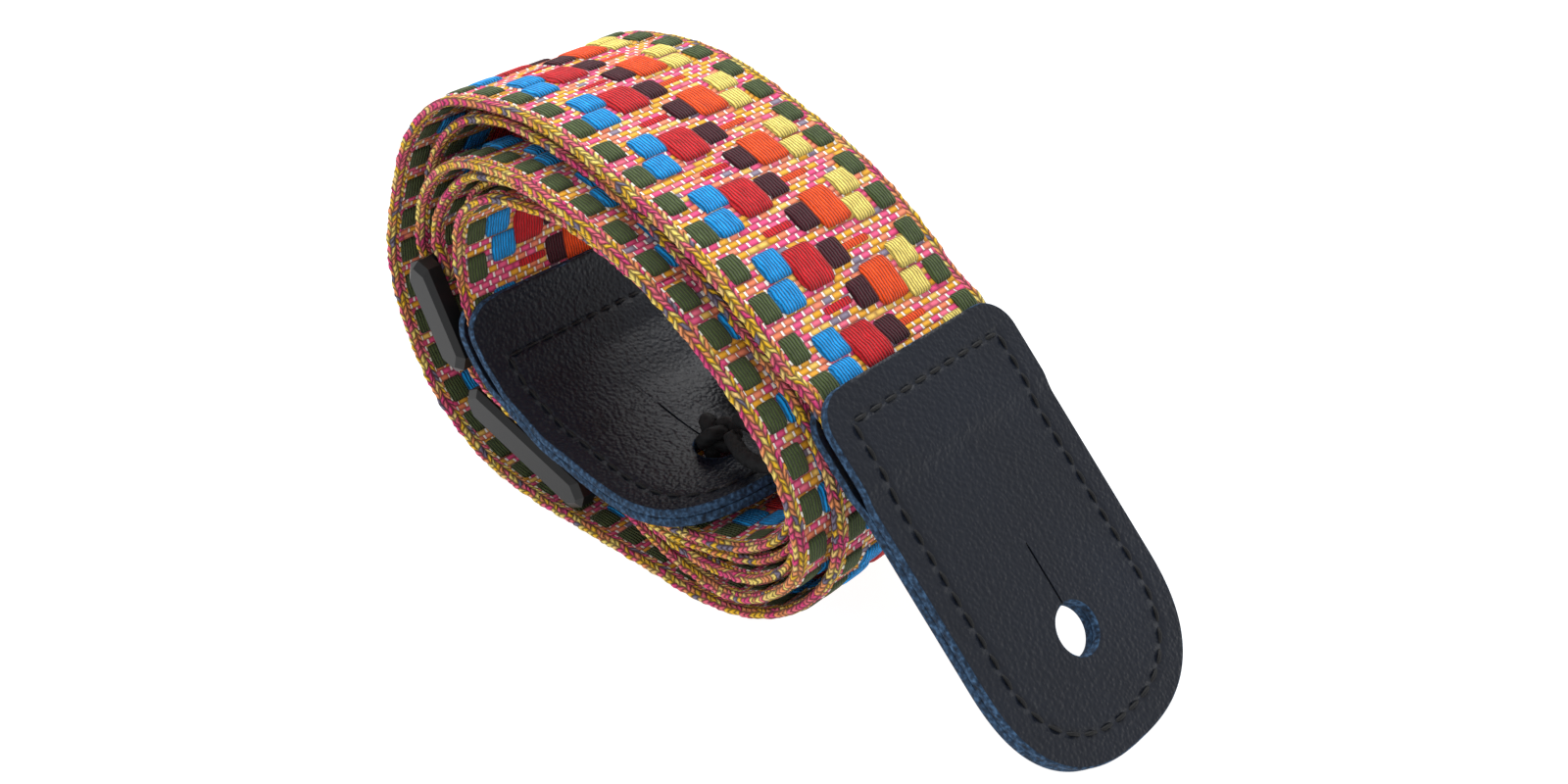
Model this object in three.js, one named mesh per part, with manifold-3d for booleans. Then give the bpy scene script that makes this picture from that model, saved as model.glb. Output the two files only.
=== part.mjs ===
// A woven guitar strap, rolled up and lying on its side, ready to be hung on a shop peg or put in a drawer.
// Millimetres, +Z up. The roll's axis runs along Y, the open outer tab points along +X,
// and the origin is the middle of the underside of the whole strap.
import * as THREE from 'three';
import { mergeVertices } from 'three/addons/utils/BufferGeometryUtils.js';
import Module from 'manifold-3d';

const wasm = await Module();
wasm.setup();

// Webbing
const WEB_WIDTH = 50;
const WEB_THICK = 2.0;
const WEB_STEP = 4;
const WEB_TURN = 7;
const FINE_STEP = 0.4;

// Leather tabs
const TAB_WIDTH = 52.6;
const TAB_LENGTH = 82.5;
const LEATHER = 1.9;
const LEATHER_GAP = 0.3;
const TAB_CORNER = 7;
// 2 would be a half-round tip; more is fuller at its shoulders.
const TIP_POWER = 2.5;
const WEB_IN_TAB = 17;
const WEB_EASE_END = 27;
const HOLE_FROM_TIP = 22.9;
const HOLE_DIAMETER = 10;
const SLIT_LENGTH = 13;
const SLIT_WIDTH = 0.9;
const STITCH_INSET = 5.5;
const TIP_STEPS = 12;
const OUTER_STITCH_END = 6.5;
const INNER_STITCH_END = 14;
const STITCH_STEP = 3;
const THREAD = 0.7;
const OUTER_TAB_SLOPE = THREE.MathUtils.degToRad(45.5);
const OUTER_TAB_START = [31.4, 60.7];

// Moulded plastic
const HARDWARE_WIDTH = 60;
const HARDWARE_THICK = 8;
const BAR_THICK = 2.8;
const BAR_WIDE = 4.2;
const BAR_CLEARANCE = 0.5;
const LEAD_IN = 4;
const RING_LENGTH = 25;
const RING_CENTRE = [-70.3, 40.2];
const RING_LEAN = THREE.MathUtils.degToRad(-62);
const SLIDER_LENGTH = 38;
const SLIDER_CENTRE = [-50.7, 13.3];
const SLIDER_LEAN = THREE.MathUtils.degToRad(-17.1);
const SLIDER_SHIFT = 4.5;
const SLOT_WIDTH = 51.2;
const EDGE_BEVEL = 1.2;
const WALL_CORNER = 2.4;
const BAR_ROUNDING = 0.6;
const BAR_BITE = 0.6;

// Tie cord
const CORD_DIAMETER = 3.4;
const CORD_SIDES = 8;
const CORD_STEP = 2.5;
const KNOT_SIZE = [11, 9.5, 7.5];
const HANK_LENGTH = 50;
const HANK_WIDE = 13.6;
const HANK_TALL = 10.2;
const TIE_WIDE = 4;
const TIE_THICK = 1;

// The roll is described around one line through its core: a direction in degrees, counter-clockwise
// from +X, a radius from that line, and how far that stretch has crept sideways along Y.
const CORE = [-24, 45.2];

// From the outer tab round the roll to the slider.
const OUTER_TURNS = [
  [21.5, 53.6, -1], [30, 51.0, -1.8], [45, 47.5, -2.4], [60, 44.6, -2], [75, 43.3, -1.2], [90, 44.8, -0.5],
  [105, 48.6, 0], [120, 53.9, 0], [135, 60.6, 0], [150, 63.9, 0], [165, 65.0, 0], [180, 67.5, 0],
  [195, 66.8, 0], [210, 64.3, 0], [225, 58.5, 0], [240, 50.9, 0], [255, 45.65, 0], [270, 44.1, 0],
  [285, 45.65, 0], [300, 50.9, 0], [315, 57.0, 0], [330, 61.6, 0], [345, 63.4, 0], [360, 59.8, 0],
  [375, 52.6, 0], [390, 45.6, 0], [405, 41.5, 0], [420, 39.6, 0], [435, 39.8, 0], [450, 41.7, 0],
  [465, 45.3, 0], [480, 50.4, 1], [495, 55.6, 2], [510, 58.4, 3], [525, 59.6, 4], [540, 59.3, 4.5],
  [555, 56.4, 4.5],
];
// From the slider round the roll to the ring.
const STRAND_TO_RING = [
  [270, 36.4, 3.5], [285, 39.5, 2], [300, 44.6, 0], [315, 51.3, -2.5], [330, 56.5, -5], [345, 60.4, -7],
  [360, 56.5, -8], [375, 49.1, -8], [390, 42.6, -8], [405, 38.6, -8], [420, 36.6, -8],
  [435, 36.2, -8], [450, 37.6, -8], [465, 39.8, -7], [480, 42.9, -5.5], [495, 47.9, -3.5],
  [510, 53.4, -1], [522, 56.5, 0],
];
// Back from the ring, inside that strand, to the bar of the slider.
const STRAND_FROM_RING = [
  [522, 51.2, 0], [510, 48.6, -0.5], [495, 44.5, -2], [480, 39.6, -3], [465, 36.3, -4.5],
  [450, 34.1, -5.2], [435, 33.0, -5.6], [420, 33.7, -5.6], [405, 35.7, -5.6], [390, 39.6, -5.6],
  [375, 45.8, -5.6], [360, 53.8, -5.6], [345, 57.7, -5], [330, 53.2, -3.5], [315, 46.2, -1.5],
  [300, 40.2, 0.5], [285, 35.9, 2], [270, 33.8, 3.5],
];
// The short webbing: from the ring round the roll twice to the inner tab.
const SHORT_TURNS = [
  [212, 42.6, 0], [225, 36.6, 0], [240, 32.6, 0], [255, 30.0, 0], [270, 31.1, 0], [285, 33.2, 0],
  [300, 37.2, 0], [315, 42.6, 0], [330, 50.3, -0.5], [345, 55.1, -1.5], [360, 51.2, -2.5], [375, 42.8, -3],
  [390, 36.6, -3], [405, 32.8, -3], [420, 30.8, -3], [435, 30.1, -2.6], [450, 31.2, -1.6],
  [465, 33.4, -0.4], [480, 36.7, 0.8], [495, 41.9, 1.8], [510, 45.6, 2.6], [525, 45.3, 3], [540, 42.3, 3],
  [555, 38.6, 3], [570, 35.3, 2.5], [585, 32.0, 2], [600, 29.7, 1], [615, 27.2, 0], [630, 28.5, 0],
  [645, 30.6, -0.5], [660, 34.3, -0.5], [675, 39.4, -1], [690, 46.9, -1], [705, 52.4, -1],
  [720, 48.6, -1], [735, 39.8, -1], [750, 33.6, -1], [765, 29.9, -1], [780, 28.0, -1],
  [795, 27.3, -1], [810, 28.3, -1], [825, 30.5, -1], [840, 33.8, -1.5], [855, 39.2, -2],
  [870, 42.4, -2.5], [885, 40.6, -3],
];
// The middle of the inner tab, from its straight end to past its tip.
const INNER_TAB_LINE = [
  [178, 36.6, -4], [186, 35.2, -4], [195, 33.4, -4], [203, 31.6, -4], [212, 29.4, -4],
  [225, 26.5, -4], [240, 25.0, -4], [255, 23.7, -4], [270, 24.3, -4], [285, 26.2, -4],
  [300, 29.3, -4], [315, 33.6, -4], [330, 38.7, -4], [340, 42.5, -4],
];
// The tie cord, from the knot on the inner tab to the end of its hank: x, y, z.
const CORD_ROUTE = [
  [-5.6, -6.6, 27.9], [-2.6, -8.4, 28.2], [1.5, -10.4, 28.6], [6, -11.4, 29.4], [10.5, -10.8, 30.4],
  [14.4, -7.8, 31.2], [16.6, -3, 31.6], [16.4, 2.4, 31.6], [13.6, 7, 31.4], [9, 9.7, 31.2],
];
// The cord's short free end, which leaves the other side of the knot.
const TAIL_ROUTE = [
  [-6.6, -3.4, 30.4], [-2.4, -4.4, 31.2], [2.4, -5.4, 32.2], [7, -5.6, 33.4], [11, -4.4, 34.6],
];
const HANK_CENTRE = [-5.8, 18.5, 31.3];

// Brings the middle of the strap's underside to the origin.
const STAND = [0.95, -0.75, 0.15];

const deg = THREE.MathUtils.degToRad;

// A point of the roll in the XZ plane, with its sideways creep, as x, y, z.
function inRoll([direction, radius, side]) {
  const angle = deg(direction);
  return new THREE.Vector3(CORE[0] + radius * Math.cos(angle), side, CORE[1] + radius * Math.sin(angle));
}

// A point given along and across a plastic piece that leans in the XZ plane.
function besidePiece(centre, lean, along, inward, side) {
  const x = centre[0] + along * Math.cos(lean) - inward * Math.sin(lean);
  const z = centre[1] + along * Math.sin(lean) + inward * Math.cos(lean);
  return new THREE.Vector3(x, side, z);
}

// A smooth line through points, sampled evenly by its length.
function line(points, step) {
  const curve = new THREE.CatmullRomCurve3(points, false, 'centripetal');
  curve.arcLengthDivisions = points.length * 60;
  const length = curve.getLength();
  const count = Math.ceil(length / step);
  return { curve, length, samples: curve.getSpacedPoints(count) };
}

// The unit normal in the XZ plane at a sample, to the left of the way it runs.
function normalAt(samples, index) {
  const before = samples[Math.max(index - 1, 0)];
  const after = samples[Math.min(index + 1, samples.length - 1)];
  const along = new THREE.Vector3(after.x - before.x, 0, after.z - before.z).normalize();
  return new THREE.Vector3(-along.z, 0, along.x);
}

// A closed solid through rings of corners that all have the same number of points.
function throughRings(rings, closed = false) {
  const size = rings[0].length;
  const positions = rings.flat().flatMap((corner) => [corner.x, corner.y, corner.z]);
  const faces = [];
  const spans = closed ? rings.length : rings.length - 1;
  for (let ring = 0; ring < spans; ring += 1) {
    const shift = ((ring + 1) % rings.length) * size;
    for (let side = 0; side < size; side += 1) {
      const next = (side + 1) % size;
      const a = ring * size + side;
      const b = ring * size + next;
      faces.push(a, b, shift + next, a, shift + next, shift + side);
    }
  }
  const last = (rings.length - 1) * size;
  for (let side = 1; !closed && side + 1 < size; side += 1) {
    faces.push(0, side + 1, side);
    faces.push(last, last + side, last + side + 1);
  }
  const geometry = new THREE.BufferGeometry();
  geometry.setAttribute('position', new THREE.Float32BufferAttribute(positions, 3));
  geometry.setIndex(faces);
  return geometry;
}

// Keeps only the samples that a band needs: close together where it bends, far apart where it runs straight.
function thinned(samples, step, turn) {
  const kept = [samples[0]];
  let heading = null;
  for (let index = 1; index + 1 < samples.length; index += 1) {
    const last = kept[kept.length - 1];
    const way = samples[index + 1].clone().sub(samples[index]).setY(0).normalize();
    heading = heading ?? way;
    if (last.distanceTo(samples[index]) >= step || heading.angleTo(way) > deg(turn)) {
      kept.push(samples[index]);
      heading = way;
    }
  }
  kept.push(samples[samples.length - 1]);
  return kept;
}

// The webbing that follows a line: its width lies along Y, its thickness in the XZ plane.
function band(points) {
  const samples = thinned(line(points, FINE_STEP).samples, WEB_STEP, WEB_TURN);
  const rings = samples.map((point, index) => {
    const lift = normalAt(samples, index).multiplyScalar(WEB_THICK / 2);
    const half = new THREE.Vector3(0, WEB_WIDTH / 2, 0);
    const low = point.clone().sub(lift);
    const high = point.clone().add(lift);
    return [low.clone().sub(half), low.clone().add(half), high.clone().add(half), high.clone().sub(half)];
  });
  return throughRings(rings);
}

function toSolid(geometry) {
  const bare = geometry.clone();
  bare.deleteAttribute('normal');
  bare.deleteAttribute('uv');
  const merged = mergeVertices(bare, 1e-4);
  const vertProperties = new Float32Array(merged.attributes.position.array);
  const triVerts = new Uint32Array(merged.index.array);
  return new wasm.Manifold(new wasm.Mesh({ numProp: 3, vertProperties, triVerts }));
}

function toGeometry(solid) {
  const mesh = solid.getMesh();
  const geometry = new THREE.BufferGeometry();
  geometry.setAttribute('position', new THREE.Float32BufferAttribute(mesh.vertProperties, 3));
  geometry.setIndex(new THREE.Uint32BufferAttribute(mesh.triVerts, 1));
  return geometry;
}

function cut(geometry, ...tools) {
  return toGeometry(tools.reduce((rest, tool) => rest.subtract(toSolid(tool)), toSolid(geometry)));
}

function join(geometries) {
  return toGeometry(geometries.map(toSolid).reduce((all, one) => all.add(one)));
}

// Half of a tab's width at a distance from its straight end: round corners, then a full, rounded tip.
function tabHalfWidth(along) {
  const half = TAB_WIDTH / 2;
  const tipStart = TAB_LENGTH - half;
  if (along > tipStart) {
    return half * (1 - ((along - tipStart) / half) ** TIP_POWER) ** (1 / TIP_POWER);
  }
  const corner = Math.max(TAB_CORNER - along, 0);
  return half - TAB_CORNER + Math.sqrt(TAB_CORNER ** 2 - corner ** 2);
}

// How far each leather stands off the tab's middle: over the webbing it is pushed out, then it eases back.
function leatherOffset(along) {
  const closed = LEATHER_GAP / 2 + LEATHER / 2;
  const opened = WEB_THICK / 2 + LEATHER_GAP + LEATHER / 2;
  const ease = THREE.MathUtils.smoothstep(along, WEB_IN_TAB, WEB_EASE_END);
  return opened + (closed - opened) * ease;
}

// The frame of a tab: gives a point at a length along it, across it and off its middle.
function tabFrame(points) {
  const { curve, length } = line(points, 1);
  return (along, across, off) => {
    const at = Math.min(along / length, 1);
    const point = curve.getPointAt(at);
    const way = curve.getTangentAt(at);
    const normal = new THREE.Vector3(-way.z, 0, way.x).normalize();
    return point.clone().addScaledVector(normal, off).add(new THREE.Vector3(0, across, 0));
  };
}

// One leather of a tab. Side is +1 for the one on the left of the tab's line, -1 for the other.
function leather(place, side) {
  const stations = [0, 0.5, 1.3, 2.4, 4, 7];
  for (let along = 10; along < TAB_LENGTH - 10; along += 3) {
    stations.push(along);
  }
  stations.push(...[10, 7.5, 5.2, 3.4, 2, 1, 0.4, 0.08].map((left) => TAB_LENGTH - left));
  const rings = stations.map((along) => {
    const half = tabHalfWidth(along);
    const near = side * leatherOffset(along) - LEATHER / 2;
    const far = near + LEATHER;
    const outline = [[-half, near], [half, near], [half, far], [-half, far]];
    return outline.map(([across, off]) => place(along, across, off));
  });
  const holeAt = TAB_LENGTH - HOLE_FROM_TIP;
  return cut(throughRings(rings), holeTool(place, holeAt), slitTool(place, holeAt));
}

// The round button hole, square to the leather where it is.
function holeTool(place, along) {
  const middle = place(along, 0, 0);
  const normal = place(along, 0, 1).sub(middle);
  const tool = new THREE.CylinderGeometry(HOLE_DIAMETER / 2, HOLE_DIAMETER / 2, 24, 24);
  tool.applyQuaternion(new THREE.Quaternion().setFromUnitVectors(new THREE.Vector3(0, 1, 0), normal));
  return tool.translate(middle.x, middle.y, middle.z);
}

// The slit that lets a strap button's head through, from the hole towards the straight end.
function slitTool(place, along) {
  const rings = [];
  for (let back = SLIT_LENGTH + HOLE_DIAMETER / 2; back > 0; back -= 2.5) {
    const at = along - back;
    const half = SLIT_WIDTH / 2;
    rings.push([place(at, -half, -5), place(at, half, -5), place(at, half, 5), place(at, -half, 5)]);
  }
  return throughRings(rings);
}

// Where the stitches of a tab lie, as along and across: up one side, round the tip, down the other, across.
function stitchLine(endInset) {
  const half = TAB_WIDTH / 2 - STITCH_INSET;
  const tipStart = TAB_LENGTH - TAB_WIDTH / 2;
  const path = new THREE.Path();
  path.moveTo(endInset, -half);
  for (let step = -TIP_STEPS; step <= TIP_STEPS; step += 1) {
    const turn = (Math.PI / 2) * (step / TIP_STEPS);
    const ahead = half * Math.cos(turn) ** (2 / TIP_POWER);
    const beside = half * Math.sign(turn) * Math.abs(Math.sin(turn)) ** (2 / TIP_POWER);
    path.lineTo(tipStart + ahead, beside);
  }
  path.lineTo(endInset, half);
  path.lineTo(endInset, -half);
  return path;
}

// The stitching of a tab: one thread that runs round it, just off one face.
function stitches(place, side, endInset) {
  const path = stitchLine(endInset);
  const count = Math.round(path.getLength() / STITCH_STEP);
  const rings = [];
  for (let index = 0; index < count; index += 1) {
    const at = path.getPointAt(index / count);
    const way = path.getTangentAt(index / count);
    const acrossX = (-way.y * THREAD) / 2;
    const acrossY = (way.x * THREAD) / 2;
    const low = side * (leatherOffset(at.x) + LEATHER / 2 + LEATHER_GAP);
    const high = low + side * THREAD;
    const [under, over] = side > 0 ? [low, high] : [high, low];
    rings.push([
      place(at.x - acrossX, at.y - acrossY, under), place(at.x + acrossX, at.y + acrossY, under),
      place(at.x + acrossX, at.y + acrossY, over), place(at.x - acrossX, at.y - acrossY, over),
    ]);
  }
  return throughRings(rings, true);
}

// A point of the outer tab's middle, which runs straight down its slope.
function outerTabLineAt(along) {
  const [x, z] = OUTER_TAB_START;
  return new THREE.Vector3(x + along * Math.cos(OUTER_TAB_SLOPE), 0, z - along * Math.sin(OUTER_TAB_SLOPE));
}

// A cross bar with bevelled edges, lying along Y at a place along its frame.
function bar(along) {
  const shape = new THREE.Shape();
  const halfX = BAR_WIDE / 2;
  const halfZ = BAR_THICK / 2;
  const bevel = halfZ * BAR_ROUNDING;
  shape.moveTo(-halfX + bevel, -halfZ);
  shape.lineTo(halfX - bevel, -halfZ);
  shape.lineTo(halfX, -halfZ + bevel);
  shape.lineTo(halfX, halfZ - bevel);
  shape.lineTo(halfX - bevel, halfZ);
  shape.lineTo(-halfX + bevel, halfZ);
  shape.lineTo(-halfX, halfZ - bevel);
  shape.lineTo(-halfX, -halfZ + bevel);
  shape.closePath();
  const width = SLOT_WIDTH + BAR_BITE * 2;
  const solid = new THREE.ExtrudeGeometry(shape, { depth: width, bevelEnabled: false });
  return solid.rotateX(Math.PI / 2).translate(along, width / 2, 0);
}

// An end wall of a ring or slider, with its outer edges bevelled all round.
function endWall(length, side) {
  const wall = (HARDWARE_WIDTH - SLOT_WIDTH) / 2;
  const inner = SLOT_WIDTH / 2;
  const ring = (y, shrink) => {
    const x = length / 2 - shrink;
    const z = HARDWARE_THICK / 2 - shrink;
    const cutX = x - WALL_CORNER;
    const cutZ = z - WALL_CORNER;
    const left = [[-cutX, -z], [-x, -cutZ], [-x, cutZ], [-cutX, z]];
    const right = left.map(([along, up]) => [-along, -up]);
    return [...left, ...right].map(([along, up]) => new THREE.Vector3(along, y, up));
  };
  const levels = [[inner, 0], [inner + wall - EDGE_BEVEL, 0], [inner + wall, EDGE_BEVEL]];
  const ordered = side > 0 ? levels : levels.map(([y, shrink]) => [-y, shrink]).reverse();
  return throughRings(ordered.map(([y, shrink]) => ring(y, shrink)));
}

// A moulded frame of two end walls joined by bars at the given places along it.
function hardware(length, barPlaces) {
  const pieces = [endWall(length, 1), endWall(length, -1)];
  for (const place of barPlaces) {
    pieces.push(bar(place));
  }
  return join(pieces);
}

// The places of the end bars of a frame of a given length.
function endBarPlace(length) {
  return length / 2 - BAR_WIDE / 2;
}

// A band's way round a bar, starting on one face and ending on the other, seen from the bar's middle.
function roundBar(centre, lean, barAt, firstAngle, lastAngle, side) {
  const off = BAR_CLEARANCE + WEB_THICK / 2;
  const points = [];
  const turns = 8;
  for (let index = 0; index <= turns; index += 1) {
    const angle = firstAngle + ((lastAngle - firstAngle) * index) / turns;
    const along = barAt + (BAR_WIDE / 2 + off) * Math.cos(angle);
    points.push(besidePiece(centre, lean, along, (BAR_THICK / 2 + off) * Math.sin(angle), side));
  }
  return points;
}

// The long webbing, from just outside the outer tab to its sewn end on the slider's middle bar.
function longWebbingPoints() {
  const ringBar = -endBarPlace(RING_LENGTH);
  const sliderBar = endBarPlace(SLIDER_LENGTH);
  const beside = BAR_THICK / 2 + BAR_CLEARANCE + WEB_THICK / 2;
  const over = beside + WEB_THICK + 0.7;
  const atSlider = (along, inward) => besidePiece(SLIDER_CENTRE, SLIDER_LEAN, along, inward, SLIDER_SHIFT);
  return [
    outerTabLineAt(-0.6),
    ...OUTER_TURNS.map(inRoll),
    atSlider(-sliderBar - 3, beside + 0.6),
    atSlider(-sliderBar + 1, beside),
    atSlider(-7.5, -2.6),
    atSlider(-1.6, -over),
    atSlider(1.6, -over),
    atSlider(8, -2),
    atSlider(sliderBar - 1, beside),
    atSlider(sliderBar + 3, beside - 0.1),
    ...STRAND_TO_RING.map(inRoll),
    besidePiece(RING_CENTRE, RING_LEAN, ringBar - LEAD_IN, -beside - 0.2, 0),
    ...roundBar(RING_CENTRE, RING_LEAN, ringBar, -Math.PI / 2, Math.PI / 2, 0),
    besidePiece(RING_CENTRE, RING_LEAN, ringBar - LEAD_IN, beside + 0.2, 0),
    ...STRAND_FROM_RING.map(inRoll),
    atSlider(sliderBar + 3, beside + WEB_THICK + 0.4),
    atSlider(sliderBar - 1, beside + WEB_THICK + 0.5),
    atSlider(8, beside + 1.0),
    ...roundBar(SLIDER_CENTRE, SLIDER_LEAN, 0, Math.PI / 2, (Math.PI * 3) / 2, SLIDER_SHIFT),
    atSlider(2.4, -beside + 0.3),
  ];
}

// The short webbing, from its sewn end inside the roll, round the ring's lower bar, to inside the inner tab.
function shortWebbingPoints() {
  const ringBar = endBarPlace(RING_LENGTH);
  const inner = INNER_TAB_LINE.filter(([direction]) => direction < 200).map(inRoll);
  const beside = BAR_THICK / 2 + BAR_CLEARANCE + WEB_THICK / 2;
  const spread = beside + 0.2;
  return [
    inRoll([212, 39.7, 0]),
    besidePiece(RING_CENTRE, RING_LEAN, ringBar + LEAD_IN, spread, 0),
    ...roundBar(RING_CENTRE, RING_LEAN, ringBar, Math.PI / 2, (Math.PI * 3) / 2, 0),
    besidePiece(RING_CENTRE, RING_LEAN, ringBar + LEAD_IN, -spread, 0),
    ...SHORT_TURNS.map(inRoll),
    ...inner,
  ];
}

// The knot that keeps the tie cord on the inner tab: a squat round lump over the button hole.
function knot() {
  const [x, y, z] = KNOT_SIZE;
  const lump = new THREE.SphereGeometry(0.5, 14, 10).scale(x, y, z);
  const middle = innerTab(TAB_LENGTH - HOLE_FROM_TIP, 0, 0);
  const off = LEATHER + LEATHER_GAP / 2 + LEATHER_GAP + z / 2;
  const centre = innerTab(TAB_LENGTH - HOLE_FROM_TIP, 0, off);
  const normal = centre.clone().sub(middle).normalize();
  lump.applyQuaternion(new THREE.Quaternion().setFromUnitVectors(new THREE.Vector3(0, 0, 1), normal));
  return lump.translate(centre.x, centre.y, centre.z);
}

// A round cord along a route.
function cord(points) {
  const route = new THREE.CatmullRomCurve3(points.map((point) => new THREE.Vector3(...point)));
  const section = new THREE.Shape();
  const radius = CORD_DIAMETER / 2;
  section.moveTo(radius, 0);
  for (let side = 1; side < CORD_SIDES; side += 1) {
    const angle = (side / CORD_SIDES) * Math.PI * 2;
    section.lineTo(radius * Math.cos(angle), radius * Math.sin(angle));
  }
  section.closePath();
  const steps = Math.ceil(route.getLength() / CORD_STEP);
  return new THREE.ExtrudeGeometry(section, { steps, bevelEnabled: false, extrudePath: route });
}

// An outline with round ends, length by width, on which a hank or its tie is raised.
function roundEnded(length, width) {
  const straight = (length - width) / 2;
  const shape = new THREE.Shape();
  shape.moveTo(-straight, -width / 2);
  shape.lineTo(straight, -width / 2);
  shape.absarc(straight, 0, width / 2, -Math.PI / 2, Math.PI / 2, false);
  shape.lineTo(-straight, width / 2);
  shape.absarc(-straight, 0, width / 2, Math.PI / 2, (Math.PI * 3) / 2, false);
  return shape;
}

// The rest of the tie cord, folded up: its outer shape.
function hank() {
  const shape = roundEnded(HANK_LENGTH, HANK_WIDE);
  const settings = { depth: HANK_TALL, bevelEnabled: false, curveSegments: 8 };
  return new THREE.ExtrudeGeometry(shape, settings).translate(0, 0, -HANK_TALL / 2);
}

// The band round the middle of the hank.
function hankTie() {
  const outline = (grow) => {
    const halfY = HANK_WIDE / 2 + LEATHER_GAP + grow;
    const halfZ = HANK_TALL / 2 + LEATHER_GAP + grow;
    return [[-halfY, -halfZ], [halfY, -halfZ], [halfY, halfZ], [-halfY, halfZ]];
  };
  const shape = new THREE.Shape(outline(TIE_THICK).map(([y, z]) => new THREE.Vector2(y, z)));
  shape.holes.push(new THREE.Path(outline(0).map(([y, z]) => new THREE.Vector2(y, z))));
  const solid = new THREE.ExtrudeGeometry(shape, { depth: TIE_WIDE, bevelEnabled: false });
  return solid.translate(0, 0, -TIE_WIDE / 2).rotateX(Math.PI / 2).rotateZ(Math.PI / 2);
}

// Colours of the real materials
const webbingLook = new THREE.MeshStandardMaterial({ color: 0xc8643c, roughness: 0.9, metalness: 0 });
const leatherLook = new THREE.MeshStandardMaterial({ color: 0x24272d, roughness: 0.55, metalness: 0 });
const threadLook = new THREE.MeshStandardMaterial({ color: 0x0e0f12, roughness: 0.7, metalness: 0 });
const plasticLook = new THREE.MeshStandardMaterial({ color: 0x1a1c1f, roughness: 0.4, metalness: 0 });
const cordLook = new THREE.MeshStandardMaterial({ color: 0x101114, roughness: 0.8, metalness: 0 });

const group = new THREE.Group();

function add(name, geometry, material) {
  const mesh = new THREE.Mesh(geometry, material);
  mesh.name = name;
  group.add(mesh);
  return mesh;
}

function stand(mesh, centre, lean, side) {
  mesh.position.set(centre[0], side, centre[1]);
  mesh.rotation.y = -lean;
}

const outerTab = tabFrame([0, 28, 56, TAB_LENGTH + 1].map(outerTabLineAt));
const innerTab = tabFrame(INNER_TAB_LINE.map(inRoll));

add('outer_tab_face_leather', leather(outerTab, 1), leatherLook);
add('outer_tab_back_leather', leather(outerTab, -1), leatherLook);
add('outer_tab_stitching', stitches(outerTab, 1, OUTER_STITCH_END), threadLook);
add('long_webbing_end', band([0.4, 6, 12, WEB_IN_TAB - 1].map(outerTabLineAt)), webbingLook);
add('long_webbing', band(longWebbingPoints()), webbingLook);
const ringBars = [-endBarPlace(RING_LENGTH), endBarPlace(RING_LENGTH)];
stand(add('ring', hardware(RING_LENGTH, ringBars), plasticLook), RING_CENTRE, RING_LEAN, 0);
const sliderBars = [-endBarPlace(SLIDER_LENGTH), 0, endBarPlace(SLIDER_LENGTH)];
const slider = add('slider', hardware(SLIDER_LENGTH, sliderBars), plasticLook);
stand(slider, SLIDER_CENTRE, SLIDER_LEAN, SLIDER_SHIFT);
add('short_webbing', band(shortWebbingPoints()), webbingLook);
add('inner_tab_face_leather', leather(innerTab, 1), leatherLook);
add('inner_tab_back_leather', leather(innerTab, -1), leatherLook);
add('inner_tab_stitching', stitches(innerTab, 1, INNER_STITCH_END), threadLook);
add('tie_cord_knot', knot(), cordLook);
add('tie_cord', cord(CORD_ROUTE), cordLook);
add('tie_cord_tail', cord(TAIL_ROUTE), cordLook);
add('tie_cord_hank', hank(), cordLook).position.set(...HANK_CENTRE);
add('hank_band', hankTie(), plasticLook).position.set(...HANK_CENTRE);

group.position.set(...STAND);

export default group;
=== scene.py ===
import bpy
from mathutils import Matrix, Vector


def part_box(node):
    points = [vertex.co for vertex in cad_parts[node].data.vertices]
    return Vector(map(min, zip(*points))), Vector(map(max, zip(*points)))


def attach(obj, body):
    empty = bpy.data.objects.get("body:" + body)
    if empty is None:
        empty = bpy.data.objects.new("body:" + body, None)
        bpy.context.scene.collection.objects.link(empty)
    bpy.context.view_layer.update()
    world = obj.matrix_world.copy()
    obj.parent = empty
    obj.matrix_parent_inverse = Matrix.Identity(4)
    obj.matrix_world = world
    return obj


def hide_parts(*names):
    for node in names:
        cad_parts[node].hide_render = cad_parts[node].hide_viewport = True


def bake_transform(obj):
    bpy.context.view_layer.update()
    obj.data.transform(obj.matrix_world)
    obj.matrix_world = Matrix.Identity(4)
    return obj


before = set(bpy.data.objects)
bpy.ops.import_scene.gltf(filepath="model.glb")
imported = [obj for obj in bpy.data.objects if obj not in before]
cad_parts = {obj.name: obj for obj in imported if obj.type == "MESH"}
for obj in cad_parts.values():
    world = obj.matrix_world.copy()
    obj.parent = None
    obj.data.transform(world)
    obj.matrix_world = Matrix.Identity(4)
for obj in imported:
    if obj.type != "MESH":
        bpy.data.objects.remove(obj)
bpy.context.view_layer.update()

import math

import bpy
import numpy as np

bl_info = {
    "name": "Rolled guitar strap",
    "version": (1, 0, 0),
    "blender": (4, 2, 0),
    "location": "View3D > Sidebar > Strap",
    "description": "Builds the webbing, leather tabs, hardware finish and tie cord of a rolled strap",
    "category": "Add Mesh",
}

MM = 0.001

# Brings the middle of the strap's underside to the origin, as in the solids.
STAND = np.array([0.95, -0.75, 0.15])
# The line through the roll's core, x and z.
CORE = (-24.0, 45.2)

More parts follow.
